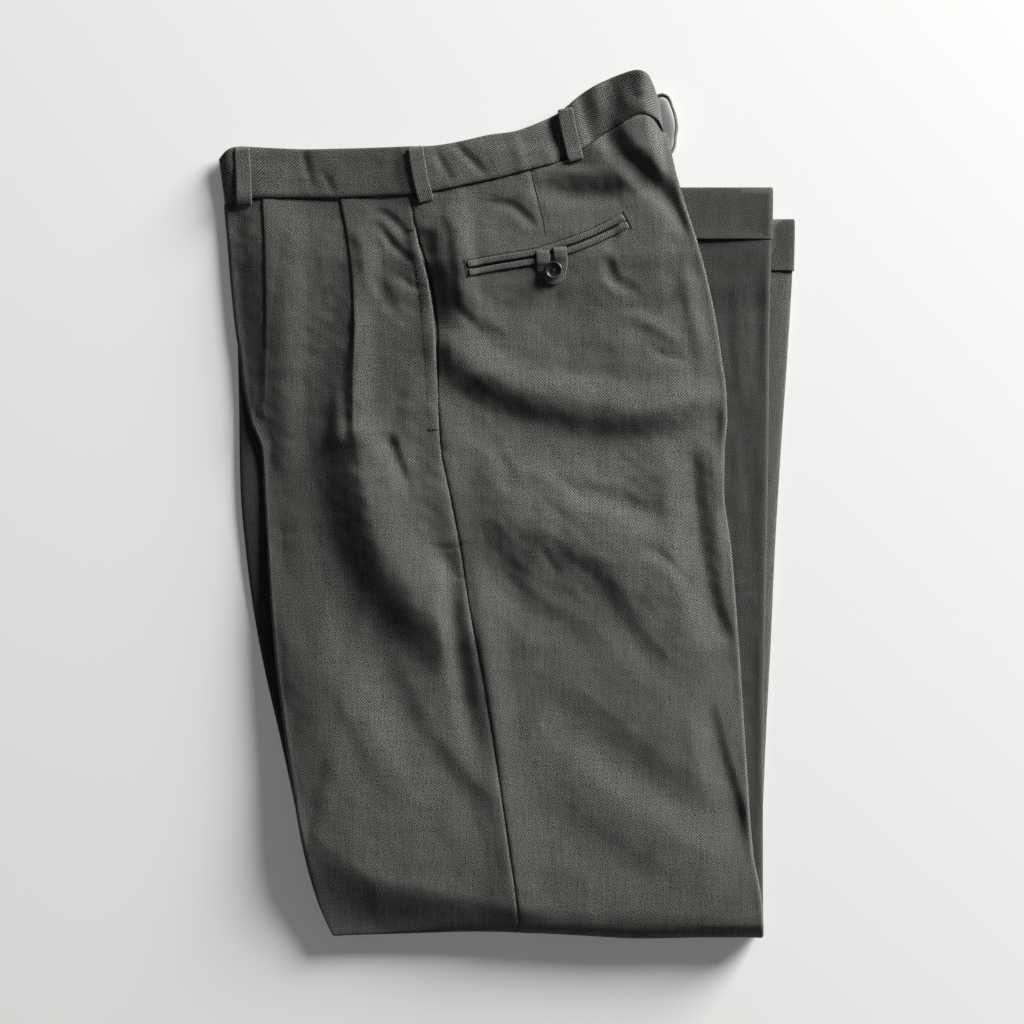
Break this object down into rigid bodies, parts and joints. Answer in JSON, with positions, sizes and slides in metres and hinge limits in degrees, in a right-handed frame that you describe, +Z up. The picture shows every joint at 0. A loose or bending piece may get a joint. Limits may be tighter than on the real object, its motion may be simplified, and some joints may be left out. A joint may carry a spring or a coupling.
{
  "type": "pleated dress trousers, folded flat",
  "caption": "Wool dress trousers with forward pleats, turn-ups, belt loops and a buttoned welt pocket, folded in profile and once under at the knee.",
  "frame": {"origin": "middle of the bottom of the folded garment's box, on the surface it lies on", "axes": "+Y to the waist, -Y to the knee fold, -X to the front creases, +X to the seat, +Z up out of the left leg's outer side"},
  "size_m": [0.4344, 0.6505, 0.0287],
  "materials": {
    "wool": "fine two-tone worsted weave, soft, matt",
    "wool_band": "fine two-tone worsted weave, stiffened, matt",
    "wool_trim": "fine two-tone worsted weave, pressed and edge-stitched, matt",
    "zip_tape": "woven tape, matt",
    "horn_button": "dark grey-brown imitation horn, half gloss",
    "zip_metal": "antiqued, half gloss",
    "hook_metal": "plain pressed steel"
  },
  "bodies": {
    "root": {"left_front": "wool", "left_back": "wool", "right_front": "wool", "right_back": "wool", "hidden_layers": "wool", "turnup_left": "wool", "turnup_right": "wool", "waistband_left": "wool_band", "waistband_right": "wool_band", "belt_loop_left_front": "wool_band", "belt_loop_left_side": "wool_band", "belt_loop_left_back": "wool_band", "belt_loop_right_front": "wool_band", "belt_loop_right_side": "wool_band", "belt_loop_right_back": "wool_band", "belt_loop_centre_back": "wool_band", "pocket_welt_upper": "wool_trim", "pocket_welt_lower": "wool_trim", "pocket_tab": "wool_trim", "side_pocket_facing": "wool_trim", "pocket_button": "horn_button", "fly_zip": "zip_tape", "zip_slider": "zip_metal", "waist_hook": "hook_metal"}
  },
  "joints": []
}
